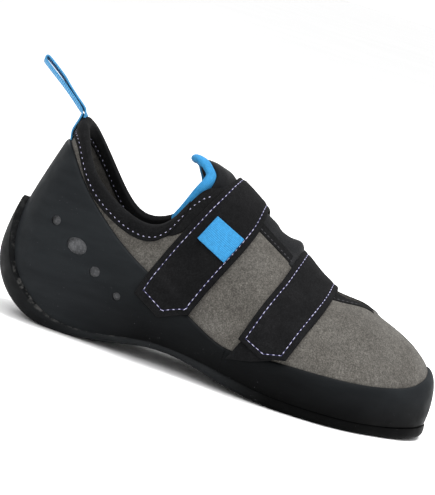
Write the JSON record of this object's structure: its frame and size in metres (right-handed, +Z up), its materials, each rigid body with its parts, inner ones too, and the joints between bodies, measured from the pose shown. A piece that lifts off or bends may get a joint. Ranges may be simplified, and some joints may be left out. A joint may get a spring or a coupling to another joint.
{
  "type": "climbing shoe",
  "caption": "Low climbing shoe for the right foot: grey suede upper on a cambered rubber sole with toe and heel rubber, a padded tongue, hook straps over the instep and a pull loop at the heel.",
  "frame": {"origin": "centre of the overall box, on the floor under the sole", "axes": "+X towards the toe, -Y towards the lateral (outer) side, +Z up"},
  "size_m": [0.2594, 0.0988, 0.1413],
  "materials": {
    "rubber": "smooth matt black rubber",
    "suede": "warm grey suede with a short nap",
    "black_suede": "near-black fine suede",
    "tongue_fabric": "padded black fabric",
    "blue_webbing": "woven bright blue webbing",
    "footbed": "dark grey brushed lining"
  },
  "bodies": {
    "root": {"outsole": "rubber", "toe_rand": "rubber", "heel_rand": "rubber", "upper": "suede", "collar_binding": "black_suede", "insole": "footbed", "tongue": "tongue_fabric", "tongue_edge": "blue_webbing", "strap_rear": "black_suede", "strap_front": "black_suede", "strap_pad": "black_suede", "label": "blue_webbing", "pull_loop": "blue_webbing"}
  },
  "joints": []
}
